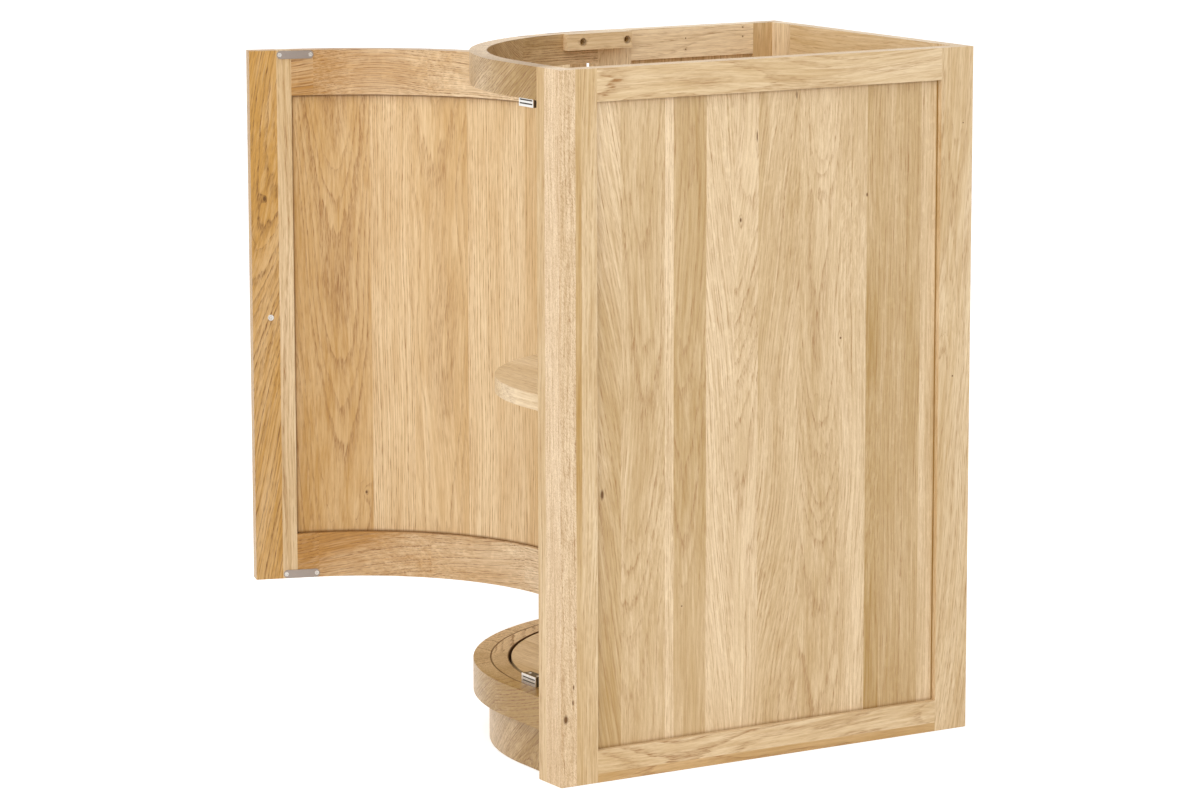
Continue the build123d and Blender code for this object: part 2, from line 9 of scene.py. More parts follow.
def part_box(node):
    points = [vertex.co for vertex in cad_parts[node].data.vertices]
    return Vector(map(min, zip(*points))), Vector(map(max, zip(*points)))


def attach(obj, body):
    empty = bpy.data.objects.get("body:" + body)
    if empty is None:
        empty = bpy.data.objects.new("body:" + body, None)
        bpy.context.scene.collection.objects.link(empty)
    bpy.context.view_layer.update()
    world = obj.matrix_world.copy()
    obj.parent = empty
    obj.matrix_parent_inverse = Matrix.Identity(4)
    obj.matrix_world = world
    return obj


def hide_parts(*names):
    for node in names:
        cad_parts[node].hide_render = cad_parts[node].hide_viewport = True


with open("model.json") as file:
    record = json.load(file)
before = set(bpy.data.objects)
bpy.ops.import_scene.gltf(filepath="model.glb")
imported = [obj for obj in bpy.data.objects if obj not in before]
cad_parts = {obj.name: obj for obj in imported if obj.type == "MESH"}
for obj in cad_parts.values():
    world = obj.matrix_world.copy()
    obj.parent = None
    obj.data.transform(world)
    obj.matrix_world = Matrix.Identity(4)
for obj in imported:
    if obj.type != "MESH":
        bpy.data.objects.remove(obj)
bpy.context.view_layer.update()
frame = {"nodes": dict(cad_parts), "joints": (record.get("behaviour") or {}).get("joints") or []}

# The front post: two planed strips of solid oak, glued edge to edge and standing from floor to
# worktop. It is oiled, so the wood stays pale, and its grain runs upwards.


def srgb(code):
    """Linear colour of an sRGB hex code: each channel c is c / 12.92 up to 0.04045 and
    ((c + 0.055) / 1.055) ** 2.4 above."""
    channels = [int(code[i:i + 2], 16) / 255 for i in (1, 3, 5)]
    linear = [c / 12.92 if c <= 0.04045 else ((c + 0.055) / 1.055) ** 2.4 for c in channels]
    return (*linear, 1.0)


def add(tree, kind, links, **settings):
    """Add a node with its settings. Links gives inputs by name or number, each a plain value or the
    output that feeds it. Returns the new node's outputs."""
    node = tree.nodes.new("ShaderNode" + kind)
    for name, value in settings.items():
        setattr(node, name, value)
    for socket, value in links.items():
        if isinstance(value, bpy.types.NodeSocket):
            tree.links.new(value, node.inputs[socket])
        else:
            node.inputs[socket].default_value = value
    return node.outputs


def new_material(name):
    """A material without nodes, and its node tree."""
    material = bpy.data.materials.new(name)
    material.use_nodes = True
    material.node_tree.nodes.clear()
    return material, material.node_tree


# Sizes of the marks in oak, across the grain, into the wood and along the grain, and for rays away
# from the heart, round it and along. Real pores are 0.2 to 0.3 mm wide and single fibres far finer,
# too fine for the render, so pores are drawn 1 mm wide and fibres in bundles. The other marks are
# near their real sizes.
pore_size = (0.001, 0.001, 0.018)
fibre_size = (0.0026, 0.0026, 0.09)
fleck_size = (0.0013, 0.0013, 0.0042)
ray_size = (0.022, 0.0013, 0.012)
edge_size = (0.0065, 0.0065, 0.07)
patch_size = (0.038, 0.038, 0.33)
sway_size = (0.2, 0.2, 0.45)
ring_change = 0.012
mean_ring_radius = 0.08


def oak_tree():
    """The cut through a log that every oak piece shows, as a node group. Place is a point in the
    board's own axes: across, into its thickness, and along the grain. A ring's number is the
    distance to the log's heart over the ring spacing. The heart drifts sideways with the grain by
    Slope and sways by slow noise, which bends the rings into the arches of a flat-sawn face."""
    tree = bpy.data.node_groups.new("oak", "ShaderNodeTree")
    face = tree.interface
    for kind, names in (
        ("Vector", ("Place", "Heart", "Slope")),
        ("Float", ("Ring", "Tone", "Fade", "Seed", "Sway", "Figure", "Flake", "Fleck", "Knot",
                   "Dark")),
        ("Color", ("Pale", "Golden", "Brown")),
    ):
        for name in names:
            face.new_socket(name, in_out="INPUT", socket_type="NodeSocket" + kind)
    face.new_socket("Color", in_out="OUTPUT", socket_type="NodeSocketColor")
    face.new_socket("Roughness", in_out="OUTPUT", socket_type="NodeSocketFloat")
    face.new_socket("Height", in_out="OUTPUT", socket_type="NodeSocketFloat")
    given = tree.nodes.new("NodeGroupInput").outputs
    made = tree.nodes.new("NodeGroupOutput").inputs

    # The heart's line and the distance to it
    along = add(tree, "SeparateXYZ", {0: given["Place"]})[2]
    slow = add(tree, "VectorMath", {0: given["Place"], 1: sway_size}, operation="DIVIDE")[0]
    sway = add(
        tree, "TexNoise", {"Vector": slow, "W": given["Seed"], "Scale": 1.0, "Detail": 1.0},
        noise_dimensions="4D",
    )["Color"]
    sway = add(tree, "VectorMath", {0: sway, 1: (0.5, 0.5, 0.5)}, operation="SUBTRACT")[0]
    sway = add(tree, "VectorMath", {0: sway, "Scale": given["Sway"]}, operation="SCALE")[0]
    drift = add(tree, "VectorMath", {0: given["Slope"], "Scale": along}, operation="SCALE")[0]
    heart = add(tree, "VectorMath", {0: given["Heart"], 1: drift}, operation="ADD")[0]
    heart = add(tree, "VectorMath", {0: heart, 1: sway}, operation="ADD")[0]
    out = add(tree, "VectorMath", {0: given["Place"], 1: heart}, operation="SUBTRACT")[0]
    flat = add(tree, "VectorMath", {0: out, 1: (1, 1, 0)}, operation="MULTIPLY")[0]
    distance = add(tree, "VectorMath", {0: flat}, operation="LENGTH")["Value"]
    rest = add(tree, "SeparateXYZ", {0: out})
    grain = add(tree, "CombineXYZ", {0: rest[0], 1: rest[1], 2: along})[0]

    # Growth rings: unequal widths, ragged edges, a sharp start of open pores that fades outwards.
    # A push is how many rings the lines move by. The fall is a share of a ring's width and the
    # strength of its brown there.
    ragged_push, uneven_push, knot_push = 0.8, 2.0, 1.5
    weakest_ring = 0.25
    ring_fall = ((0.14, 0.8), (0.34, 0.25), (0.6, 0.0), (0.93, 0.0))
    ragged = add(tree, "VectorMath", {0: grain, 1: edge_size}, operation="DIVIDE")[0]
    ragged = add(tree, "TexNoise", {"Vector": ragged, "Scale": 1.0, "Detail": 2.0})["Fac"]
    uneven = add(tree, "Math", {0: distance, 1: ring_change}, operation="DIVIDE")[0]
    uneven = add(tree, "Math", {0: uneven, 1: given["Seed"]}, operation="ADD")[0]
    uneven = add(
        tree, "TexNoise", {"W": uneven, "Scale": 1.0, "Detail": 1.0}, noise_dimensions="1D"
    )["Fac"]
    number = add(tree, "Math", {0: distance, 1: given["Ring"]}, operation="DIVIDE")[0]
    for push, strength in ((ragged, ragged_push), (uneven, uneven_push), (given["Knot"], knot_push)):
        number = add(tree, "Math", {0: push, 1: strength, 2: number}, operation="MULTIPLY_ADD")[0]
    part = add(tree, "Math", {0: number}, operation="FRACT")[0]
    whole = add(tree, "Math", {0: number}, operation="FLOOR")[0]
    whole = add(tree, "Math", {0: whole, 1: given["Seed"]}, operation="ADD")[0]
    force = add(tree, "TexWhiteNoise", {"W": whole}, noise_dimensions="1D")["Value"]
    force = add(tree, "MapRange", {"Value": force, "To Min": weakest_ring, "To Max": 1.0})[0]
    early = add(tree, "ValToRGB", {0: part})[0]
    ramp = early.node.color_ramp
    for place, level in ring_fall:
        ramp.elements.new(place).color = (level, level, level, 1)
    ramp.elements[0].color = (1, 1, 1, 1)
    ramp.elements[-1].color = (1, 1, 1, 1)
    early = add(tree, "Math", {0: early, 1: force}, operation="MULTIPLY")[0]

    # Pores and fibres: noise drawn out along the grain. Pores break the ring lines into dashes,
    # and are stronger in the early wood.
    pore_levels = {"From Min": 0.46, "From Max": 0.68}
    line_between_pores, line_gain_in_pores = 0.5, 0.55
    late_pores, early_pore_gain = 0.5, 0.5
    pores = add(tree, "VectorMath", {0: grain, 1: pore_size}, operation="DIVIDE")[0]
    pores = add(tree, "TexNoise", {"Vector": pores, "Scale": 1.0, "Detail": 2.0})["Fac"]
    pores = add(tree, "MapRange", {"Value": pores} | pore_levels)[0]
    broken = add(
        tree, "Math", {0: pores, 1: line_gain_in_pores, 2: line_between_pores},
        operation="MULTIPLY_ADD",
    )[0]
    open_grain = add(
        tree, "Math", {0: early, 1: early_pore_gain, 2: late_pores}, operation="MULTIPLY_ADD"
    )[0]
    pores = add(tree, "Math", {0: pores, 1: open_grain}, operation="MULTIPLY")[0]
    early = add(tree, "Math", {0: early, 1: broken}, operation="MULTIPLY")[0]
    fibre = add(tree, "VectorMath", {0: grain, 1: fibre_size}, operation="DIVIDE")[0]
    fibre = add(
        tree, "TexNoise", {"Vector": fibre, "W": given["Seed"], "Scale": 1.0, "Detail": 3.0},
        noise_dimensions="4D",
    )["Fac"]

    # Rays: thin sheets that point at the heart, seen as ticks on a flat-sawn face and as pale
    # flakes on a quarter-sawn one
    ray_levels = {"From Min": 0.58, "From Max": 0.7}
    turn = add(tree, "Math", {0: rest[1], 1: rest[0]}, operation="ARCTAN2")[0]
    turn = add(tree, "Math", {0: turn, 1: mean_ring_radius}, operation="MULTIPLY")[0]
    rays = add(tree, "CombineXYZ", {0: distance, 1: turn, 2: along})[0]
    rays = add(tree, "VectorMath", {0: rays, 1: ray_size}, operation="DIVIDE")[0]
    rays = add(tree, "TexNoise", {"Vector": rays, "Scale": 1.0, "Detail": 1.0})["Fac"]
    rays = add(tree, "MapRange", {"Value": rays} | ray_levels)[0]
    rays = add(tree, "Math", {0: rays, 1: given["Flake"]}, operation="MULTIPLY")[0]

    # Flecks: short slanting strokes where rays cross wavy fibres
    fleck_slant, fleck_bend = 0.5, 1.6
    fleck_levels = {"From Min": 0.42, "From Max": 0.68}
    slanted = add(tree, "Math", {0: along, 1: fleck_slant}, operation="MULTIPLY")[0]
    slanted = add(tree, "CombineXYZ", {0: slanted})[0]
    slanted = add(tree, "VectorMath", {0: grain, 1: slanted}, operation="ADD")[0]
    slanted = add(tree, "VectorMath", {0: slanted, 1: fleck_size}, operation="DIVIDE")[0]
    flecks = add(
        tree, "TexNoise", {"Vector": slanted, "Scale": 1.0, "Detail": 1.0, "Distortion": fleck_bend}
    )["Fac"]
    flecks = add(tree, "MapRange", {"Value": flecks} | fleck_levels)[0]

    # Colour: pale to golden by the board's tone, slow patches and fibres, then brown into rings,
    # pores and flecks, and at last the dark of knots, pins and glue lines, and of painted shade
    palest_patch, deepest_patch, fibre_tone = -0.9, 0.2, 0.7
    streak_levels = {"From Min": 0.38, "From Max": 0.66}
    streak_brown, pore_brown = 0.14, 0.42
    knot_and_shade_colour = "#6A4414"
    wide = add(tree, "VectorMath", {0: grain, 1: patch_size}, operation="DIVIDE")[0]
    wide = add(
        tree, "TexNoise", {"Vector": wide, "W": given["Seed"], "Scale": 1.0, "Detail": 3.0},
        noise_dimensions="4D",
    )["Fac"]
    tone = add(
        tree, "MapRange", {"Value": wide, "To Min": palest_patch, "To Max": deepest_patch}
    )[0]
    tone = add(tree, "Math", {0: fibre, 1: fibre_tone, 2: tone}, operation="MULTIPLY_ADD")[0]
    tone = add(tree, "Math", {0: tone, 1: given["Tone"]}, operation="ADD")[0]
    tone = add(
        tree, "Math", {0: along, 1: given["Fade"], 2: tone}, operation="MULTIPLY_ADD", use_clamp=True
    )[0]
    colour = add(
        tree, "Mix", {"Factor": tone, "A": given["Pale"], "B": given["Golden"]}, data_type="RGBA"
    )["Result"]
    brown = add(tree, "MapRange", {"Value": fibre, "To Max": streak_brown} | streak_levels)[0]
    for mark, strength in ((early, given["Figure"]), (pores, pore_brown), (flecks, given["Fleck"])):
        brown = add(tree, "Math", {0: mark, 1: strength, 2: brown}, operation="MULTIPLY_ADD")[0]
    brown = add(tree, "Math", {0: brown, 1: rays}, operation="SUBTRACT", use_clamp=True)[0]
    colour = add(
        tree, "Mix", {"Factor": brown, "A": colour, "B": given["Brown"]}, data_type="RGBA"
    )["Result"]
    colour = add(
        tree, "Mix", {"Factor": given["Dark"], "A": colour, "B": srgb(knot_and_shade_colour)}, data_type="RGBA"
    )["Result"]
    tree.links.new(colour, made["Color"])

    # Gloss and relief: pores are duller than the face and sunk into it
    face_roughness, pore_dullness = 0.34, 0.2
    rough = add(
        tree, "Math", {0: pores, 1: pore_dullness, 2: face_roughness}, operation="MULTIPLY_ADD"
    )[0]
    tree.links.new(rough, made["Roughness"])
    height = add(tree, "Math", {0: pores, 1: -1.0, 2: fibre}, operation="MULTIPLY_ADD")[0]
    tree.links.new(height, made["Height"])
    return tree


def dress(name, material):
    """Give a CAD node a material through its slot."""
    frame["nodes"][name].material_slots[0].material = material


def swelling(tree, place, spots):
    """How near a point is to the nearest spots: the sum of 1 / (1 + (gap / radius) ** 2). A spot is
    its place across and along, its radius, and how many times longer it is along the grain."""
    swell = 0.0
    for across, along, radius, stretch in spots:
        gap = add(tree, "VectorMath", {0: place, 1: (across, 0, along)}, operation="SUBTRACT")[0]
        gap = add(tree, "VectorMath", {0: gap, 1: (1, 0, 1 / stretch)}, operation="MULTIPLY")[0]
        gap = add(tree, "VectorMath", {0: gap}, operation="LENGTH")["Value"]
        gap = add(tree, "Math", {0: gap, 1: radius}, operation="DIVIDE")[0]
        gap = add(tree, "Math", {0: gap, 1: 2.0}, operation="POWER")[0]
        gap = add(tree, "Math", {0: gap, 1: 1.0}, operation="ADD")[0]
        near = add(tree, "Math", {0: 1.0, 1: gap}, operation="DIVIDE")[0]
        swell = add(tree, "Math", {0: near, 1: swell}, operation="ADD")[0]
    return swell


def oak(name, place_of, heart=(0.01, -0.05), slope=(0, 0.01), ring=0.0036, tone=0.4, fade=0.0,
        seed=0, sway=0.03, figure=0.45, flake=0.15, fleck=0.0, pale="#F4DDB8", golden="#B68E4A",
        brown="#9E7240", dark_spots=(), bends=(), kind="oiled oak"):
    """Planed and oiled oak for one piece: pale to golden, with brown rings that pores break into
    dashes, and a satin gloss. place_of puts the nodes into the material's tree that turn a point of
    the piece into board axes. Heart is where the log's heart passes the board's middle, slope how
    far it leaves sideways per metre, and fade how much tone the board gains per metre. Dark spots
    are knots, filled pins and painted shadow in sunk screw holes: they are dark and push the rings
    aside, and bends only push them. Kind starts the material's name."""
    dark_spot_levels = {"From Min": 0.35, "From Max": 0.75}
    relief_depth, relief_strength = 0.0002, 0.3
    material, tree = new_material(f"{kind} {name}")
    own = place_of(tree)
    values = {
        "Heart": (*heart, 0), "Slope": (*slope, 0), "Ring": ring, "Tone": tone, "Fade": fade,
        "Seed": seed + 0.5, "Sway": sway, "Figure": figure, "Flake": flake, "Fleck": fleck,
        "Pale": srgb(pale), "Golden": srgb(golden), "Brown": srgb(brown),
    }
    if dark_spots:
        near = swelling(tree, own["Place"], dark_spots)
        near = add(tree, "MapRange", {"Value": near} | dark_spot_levels)[0]
        own["Dark"] = add(tree, "Math", {0: near, 1: own.get("Dark", 0.0)}, operation="MAXIMUM")[0]
    if dark_spots or bends:
        values["Knot"] = swelling(tree, own["Place"], (*dark_spots, *bends))
    wood = add(tree, "Group", values | own, node_tree=bpy.data.node_groups.get("oak") or oak_tree())
    relief = {"Height": wood["Height"], "Strength": relief_strength, "Distance": relief_depth}
    bump = add(tree, "Bump", relief)[0]
    shader = add(tree, "BsdfPrincipled", {
        "Base Color": wood["Color"], "Roughness": wood["Roughness"], "Normal": bump, "IOR": 1.45
    })[0]
    add(tree, "OutputMaterial", {"Surface": shader})
    return material


def straight(middle, along, across):
    """Board axes of a straight piece: its middle and the directions of its grain and width, by one
    turn and one shift of its Object coordinates."""
    rows = Matrix((across, Vector(along).cross(Vector(across)), along))
    shift = -(rows @ Vector(middle))

    def place_of(tree):
        here = add(tree, "TexCoord", {})["Object"]
        turned = {"Vector": here, "Location": shift, "Rotation": rows.to_euler()}
        return {"Place": add(tree, "Mapping", turned)[0]}

    return place_of


def middle_of(name):
    """The middle of a CAD node."""
    low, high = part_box(name)
    return (low + high) / 2


x_axis, y_axis, z_axis = Vector((1, 0, 0)), Vector((0, 1, 0)), Vector((0, 0, 1))
post_knots = ((-0.0045, -0.351, 0.0030, 1.8), (0.0055, -0.331, 0.0010, 3), (0.0065, -0.312, 0.0009, 3))
dress("post_outer_strip", oak(
    "of the post", straight(middle_of("post_outer_strip"), z_axis, y_axis),
    heart=(0.03, -0.07), slope=(0.01, 0.01), ring=0.0042, tone=0.28, seed=1, figure=0.25,
    fleck=0.45, pale="#F7DFBC", dark_spots=post_knots,
))
dress("post_inner_strip", oak(
    "of the post's inner strip", straight(middle_of("post_inner_strip"), z_axis, x_axis),
    heart=(-0.02, -0.05), tone=0.62, seed=2, fleck=0.1,
))

# The right wall: a frame of planed oak with a panel of edge-jointed boards in its grooves. The
# bottom rail is made up to the floor with a strip of a redder board.
centimetre = 0.01
seeds_per_tone = 91.0


def jointed(place_of, boards):
    """Boards jointed edge to edge, on the axes of place_of. Each board gives the place of its first
    edge, its heart across and below, its heart's slope across and below, its ring spacing in cm,
    its tone, its fade and its sway, and the last row is the far edge alone. Stepped ramps carry
    the values as halves of 1 + value, so they lie between 0 and 1. The tone also gives the seed."""
    low, high = boards[0][0], boards[-1][0]

    def with_boards(tree):
        own = place_of(tree)
        width = add(tree, "SeparateXYZ", {0: own["Place"]})[0]
        share = add(tree, "MapRange", {"Value": width, "From Min": low, "From Max": high})[0]
        found = []
        for first in (1, 3, 6):
            steps = add(tree, "ValToRGB", {0: share})[0]
            ramp = steps.node.color_ramp
            ramp.interpolation = "CONSTANT"
            while len(ramp.elements) < len(boards) - 1:
                ramp.elements.new(0.5)
            for element, board in zip(ramp.elements, boards):
                element.position = (board[0] - low) / (high - low)
                element.color = (*[(1 + value) / 2 for value in board[first:first + 3]], 1)
            found.append(add(
                tree, "VectorMath", {0: steps, 1: (2, 2, 2), 2: (-1, -1, -1)},
                operation="MULTIPLY_ADD",
            )[0])
        hearts, slopes, looks = found
        ring = add(tree, "SeparateXYZ", {0: slopes})[2]
        tone, fade, sway = add(tree, "SeparateXYZ", {0: looks})
        own["Heart"] = add(tree, "VectorMath", {0: hearts, 1: (1, 1, 0)}, operation="MULTIPLY")[0]
        own["Slope"] = add(tree, "VectorMath", {0: slopes, 1: (1, 1, 0)}, operation="MULTIPLY")[0]
        own["Ring"] = add(tree, "Math", {0: ring, 1: centimetre}, operation="MULTIPLY")[0]
        own["Tone"], own["Fade"], own["Sway"] = tone, fade, sway
        own["Seed"] = add(tree, "Math", {0: tone, 1: seeds_per_tone}, operation="MULTIPLY")[0]
        return own

    return with_boards


# How far the shadow of a groove reaches onto a panel
groove_shade = 0.004


def grooved(place_of, across, along, darkness):
    """Board axes of a panel, with the dark line of the shadow where its edges go into the frame's
    grooves. Across and along hold the least and the greatest place that the frame leaves in view.
    The line darkens from nothing at groove_shade before such a place to the darkness at it."""
    middle = (sum(across) / 2, 0, sum(along) / 2)
    clear = [(high - low) / 2 - groove_shade for low, high in (across, along)]

    def with_line(tree):
        own = place_of(tree)
        off = add(tree, "VectorMath", {0: own["Place"], 1: middle}, operation="SUBTRACT")[0]
        off = add(tree, "VectorMath", {0: off}, operation="ABSOLUTE")[0]
        off = add(tree, "VectorMath", {0: off, 1: (clear[0], 0, clear[1])}, operation="SUBTRACT")[0]
        off = add(tree, "SeparateXYZ", {0: off})
        beyond = add(tree, "Math", {0: off[0], 1: off[2]}, operation="MAXIMUM")[0]
        own["Dark"] = add(
            tree, "MapRange", {"Value": beyond, "From Max": groove_shade, "To Max": darkness}
        )[0]
        return own

    return with_line


# A wide pale board and a narrow darker one
front_stile_boards = (
    (-0.030, -0.08, -0.05, 0.0, 0.01, 0.30, 0.75, 0.0, 0.02),
    (-0.0030, -0.08, -0.05, 0.01, 0.02, 0.36, 0.46, 0.0, 0.03),
    (0.030,),
)
stile_axes = straight(middle_of("right_front_stile"), z_axis, y_axis)
dress("right_front_stile", oak(
    "of the right front stile", jointed(stile_axes, front_stile_boards), figure=0.35
))
back_stile_knots = ((-0.0024, 0.021, 0.0012, 1), (0.0096, 0.34, 0.001, 1))
plain_oak, red_oak = "#F4DDB8", "#EFCDA2"
for i, (name, along, across, tone, figure, sway, slant, pale, dark_spots) in enumerate((
    ("right_back_stile", z_axis, y_axis, 0.45, 0.5, 0.05, 0.07, plain_oak, back_stile_knots),
    ("right_top_rail", y_axis, z_axis, 0.45, 0.7, 0.08, 0.03, plain_oak, ()),
    ("right_bottom_rail", y_axis, z_axis, 0.42, 0.8, 0.07, 0.02, plain_oak, ()),
    ("right_bottom_strip", y_axis, z_axis, 0.7, 0.6, 0.03, 0.01, red_oak, ()),
)):
    dress(name, oak(
        name.replace("_", " "), straight(middle_of(name), along, across),
        heart=(0.012 * (i - 2), -0.05 - 0.01 * i), slope=(slant, 0.02), tone=tone, seed=10 + i,
        figure=figure, sway=sway, dark_spots=dark_spots, pale=pale,
    ))

right_boards = (
    (-0.260, -0.30, -0.05, -0.180, 0.015, 0.40, 0.52, -0.70, 0.05),
    (-0.2145, -0.187, -0.06, 0.015, 0.030, 0.40, 0.44, 0.00, 0.05),
    (-0.152, -0.30, -0.05, 0.000, 0.010, 0.36, 0.15, 0.00, 0.02),
    (-0.1391, -0.118, -0.04, 0.010, 0.030, 0.42, 0.60, 0.00, 0.04),
    (-0.0931, -0.20, -0.05, -0.100, 0.020, 0.36, 0.22, 0.00, 0.04),
    (-0.0525, -0.035, -0.05, 0.040, 0.040, 0.40, 0.28, 0.00, 0.07),
    (-0.0174, 0.10, -0.04, 0.120, 0.030, 0.46, 0.43, 0.00, 0.08),
    (0.0445, 0.076, -0.06, 0.010, 0.060, 0.44, 0.40, 0.00, 0.05),
    (0.1056, 0.20, -0.04, 0.030, 0.040, 0.40, 0.32, 0.00, 0.06),
    (0.1440, 0.21, -0.04, 0.030, 0.030, 0.36, 0.68, 0.00, 0.06),
    (0.1658, 0.34, -0.05, 0.010, 0.010, 0.30, 0.62, 0.00, 0.02),
    (0.2253, 0.10, -0.08, 0.000, 0.010, 0.46, 0.28, 0.00, 0.02),
    # The last narrow strip, deep golden, is a painted shade line along the back stile's groove
    (0.2477, 0.10, -0.08, 0.000, 0.010, 0.46, 0.95, 0.00, 0.02),
    (0.260,),
)
right_knots = (
    (-0.042, 0.239, 0.0014, 2), (-0.0185, 0.340, 0.0009, 8), (0.039, 0.387, 0.0008, 6),
    (0.144, 0.258, 0.0012, 2), (0.106, 0.082, 0.0014, 1), (-0.126, -0.231, 0.001, 1),
    (-0.2395, -0.081, 0.0024, 2.5),
)
right_bends = (
    (0.0765, 0.268, 0.016, 2), (-0.042, 0.239, 0.012, 3), (0.030, 0.40, 0.03, 1.5),
    (0.106, 0.082, 0.007, 2),
)
right_middle = middle_of("right_panel")
right_across = (
    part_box("right_front_stile")[1].y - right_middle.y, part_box("right_back_stile")[0].y - right_middle.y
)
right_along = (
    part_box("right_bottom_rail")[1].z - right_middle.z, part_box("right_top_rail")[0].z - right_middle.z
)
right_axes = grooved(
    straight(right_middle, z_axis, y_axis), right_across, right_along, darkness=0.5
)
dress("right_panel", oak(
    "of the right panel", jointed(right_axes, right_boards), dark_spots=right_knots, bends=right_bends,
    golden="#AE8946", pale="#F3DAB4", figure=0.47, fleck=0.08,
))

# The left wall, short and behind the curve, and the back between the two walls: the same frames,
# with their inner faces in view through the open top. Small dark marks of filled pins show on
# the left wall's top rail.
pin_marks = (
    (0.022, -0.011, 0.0009, 1), (0.005, -0.011, 0.0011, 1), (-0.0095, -0.011, 0.0011, 1),
    (0.0155, 0.078, 0.0011, 1), (0.0035, 0.078, 0.0011, 1),
)
for i, (name, along, across, tone) in enumerate((
    ("left_back_stile", z_axis, y_axis, 0.6),
    ("left_front_stile", z_axis, y_axis, 0.2),
    ("left_top_rail", y_axis, z_axis, 0.0),
    ("left_bottom_rail", y_axis, z_axis, 0.4),
    ("left_panel", z_axis, y_axis, 0.5),
    ("back_left_stile", z_axis, x_axis, 0.2),
    ("back_right_stile", z_axis, x_axis, 0.5),
    ("back_top_rail", x_axis, z_axis, 0.4),
    ("back_bottom_rail", x_axis, z_axis, 0.4),
    ("back_panel", z_axis, x_axis, 0.6),
)):
    dress(name, oak(
        name.replace("_", " "), straight(middle_of(name), along, across),
        heart=(0.01 * (i - 4), -0.06), slope=(0.01, 0.02), tone=tone, seed=20 + i,
        dark_spots=pin_marks if name == "left_top_rail" else (),
    ))

# The curved rails and the plinth: short lengths of oak glued end to end and sawn to the curve, so
# each length shows its own slanting grain. They are of darker boards. The lines where the rings
# meet are dark. The top rail's inner face is drawn darker and more golden as painted shade, the
# stop has a painted shadow in the gap by the floor board, and the plinth a painted shade under
# the ring above it.
curve_middle = Vector((0.095, -0.280, 0))
mark_width = 0.0011

# Height over which a ring's shade grows to its darkness, and a height that no piece reaches
shade_height, shade_darkness = 0.003, 0.6
out_of_reach = 10.0

# The log's heart passes a length up to 5 cm to either side, and from 8 cm below to 2 cm above. It
# leans sideways by up to heart_lean per metre.
heart_range, least_heart = (0.1, 0.1, 0), (-0.05, -0.08, 0)
heart_lean = 0.05


def in_lengths(centre, radius, turn, step, tone, spread, fade, rise, seed, marks=(),
               shade_from=out_of_reach):
    """Board axes of a ring sawn from straight lengths. The angle round the centre, counted from
    turn in steps, gives the length's number, and the point is turned back by the middle angle of
    that length. A length's tone is the given one, changed by up to half the spread, and the tone
    grows by the fade per length along the ring. Its grain climbs by a random slope between the two
    of rise. A mark is a radius, a strength and a gain of tone: within mark_width of that radius the
    wood is darker, as at a line of glue, and as painted shade on the top rail's inner face and a
    painted shadow in the gap by the floor board. It darkens too above the height shade_from, as a
    painted shade where a ring hangs over it."""

    def place_of(tree):
        here = add(tree, "TexCoord", {})["Object"]
        here = add(tree, "VectorMath", {0: here, 1: centre}, operation="SUBTRACT")[0]
        parts = add(tree, "SeparateXYZ", {0: here})
        angle = add(tree, "Math", {0: parts[1], 1: parts[0]}, operation="ARCTAN2")[0]
        count = add(tree, "Math", {0: angle, 1: turn}, operation="SUBTRACT")[0]
        count = add(tree, "Math", {0: count, 1: 2 * math.pi}, operation="FLOORED_MODULO")[0]
        count = add(tree, "Math", {0: count, 1: step}, operation="DIVIDE")[0]
        whole = add(tree, "Math", {0: count}, operation="FLOOR")[0]
        beyond = add(tree, "Math", {0: count, 1: whole}, operation="SUBTRACT")[0]
        beyond = add(tree, "Math", {0: beyond, 1: 0.5}, operation="SUBTRACT")[0]
        beyond = add(tree, "Math", {0: beyond, 1: step}, operation="MULTIPLY")[0]
        back = add(tree, "Math", {0: beyond, 1: angle}, operation="SUBTRACT")[0]
        turned = add(tree, "VectorRotate", {"Vector": here, "Angle": back}, rotation_type="Z_AXIS")[0]
        turned = add(tree, "VectorMath", {0: turned, 1: (radius, 0, 0)}, operation="SUBTRACT")[0]
        board = add(tree, "SeparateXYZ", {0: turned})
        code = add(tree, "Math", {0: whole, 1: seed}, operation="ADD")[0]
        random = add(tree, "TexWhiteNoise", {"W": code}, noise_dimensions="1D")
        heart = add(
            tree, "VectorMath", {0: random["Color"], 1: heart_range, 2: least_heart},
            operation="MULTIPLY_ADD",
        )[0]
        climb_range, least_climb = (2 * heart_lean, rise[1] - rise[0], 0), (-heart_lean, rise[0], 0)
        climb = add(
            tree, "VectorMath", {0: random["Color"], 1: climb_range, 2: least_climb},
            operation="MULTIPLY_ADD",
        )[0]
        shade = add(tree, "MapRange", {
            "Value": random["Value"], "To Min": tone - spread / 2, "To Max": tone + spread / 2
        })[0]
        shade = add(tree, "Math", {0: count, 1: fade, 2: shade}, operation="MULTIPLY_ADD")[0]
        flat = add(tree, "VectorMath", {0: here, 1: (1, 1, 0)}, operation="MULTIPLY")[0]
        flat = add(tree, "VectorMath", {0: flat}, operation="LENGTH")["Value"]
        dark = add(tree, "MapRange", {
            "Value": parts[2], "From Min": shade_from, "From Max": shade_from + shade_height,
            "To Max": shade_darkness,
        })[0]
        for at, strength, gain in marks:
            marked = add(tree, "Math", {0: flat, 1: at, 2: mark_width}, operation="COMPARE")[0]
            dark = add(tree, "Math", {0: marked, 1: strength, 2: dark}, operation="MULTIPLY_ADD")[0]
            shade = add(tree, "Math", {0: marked, 1: gain, 2: shade}, operation="MULTIPLY_ADD")[0]
        return {
            "Place": add(tree, "CombineXYZ", {0: board[0], 1: board[2], 2: board[1]})[0],
            "Heart": heart, "Slope": climb, "Seed": code, "Tone": shade, "Dark": dark,
        }

    return place_of


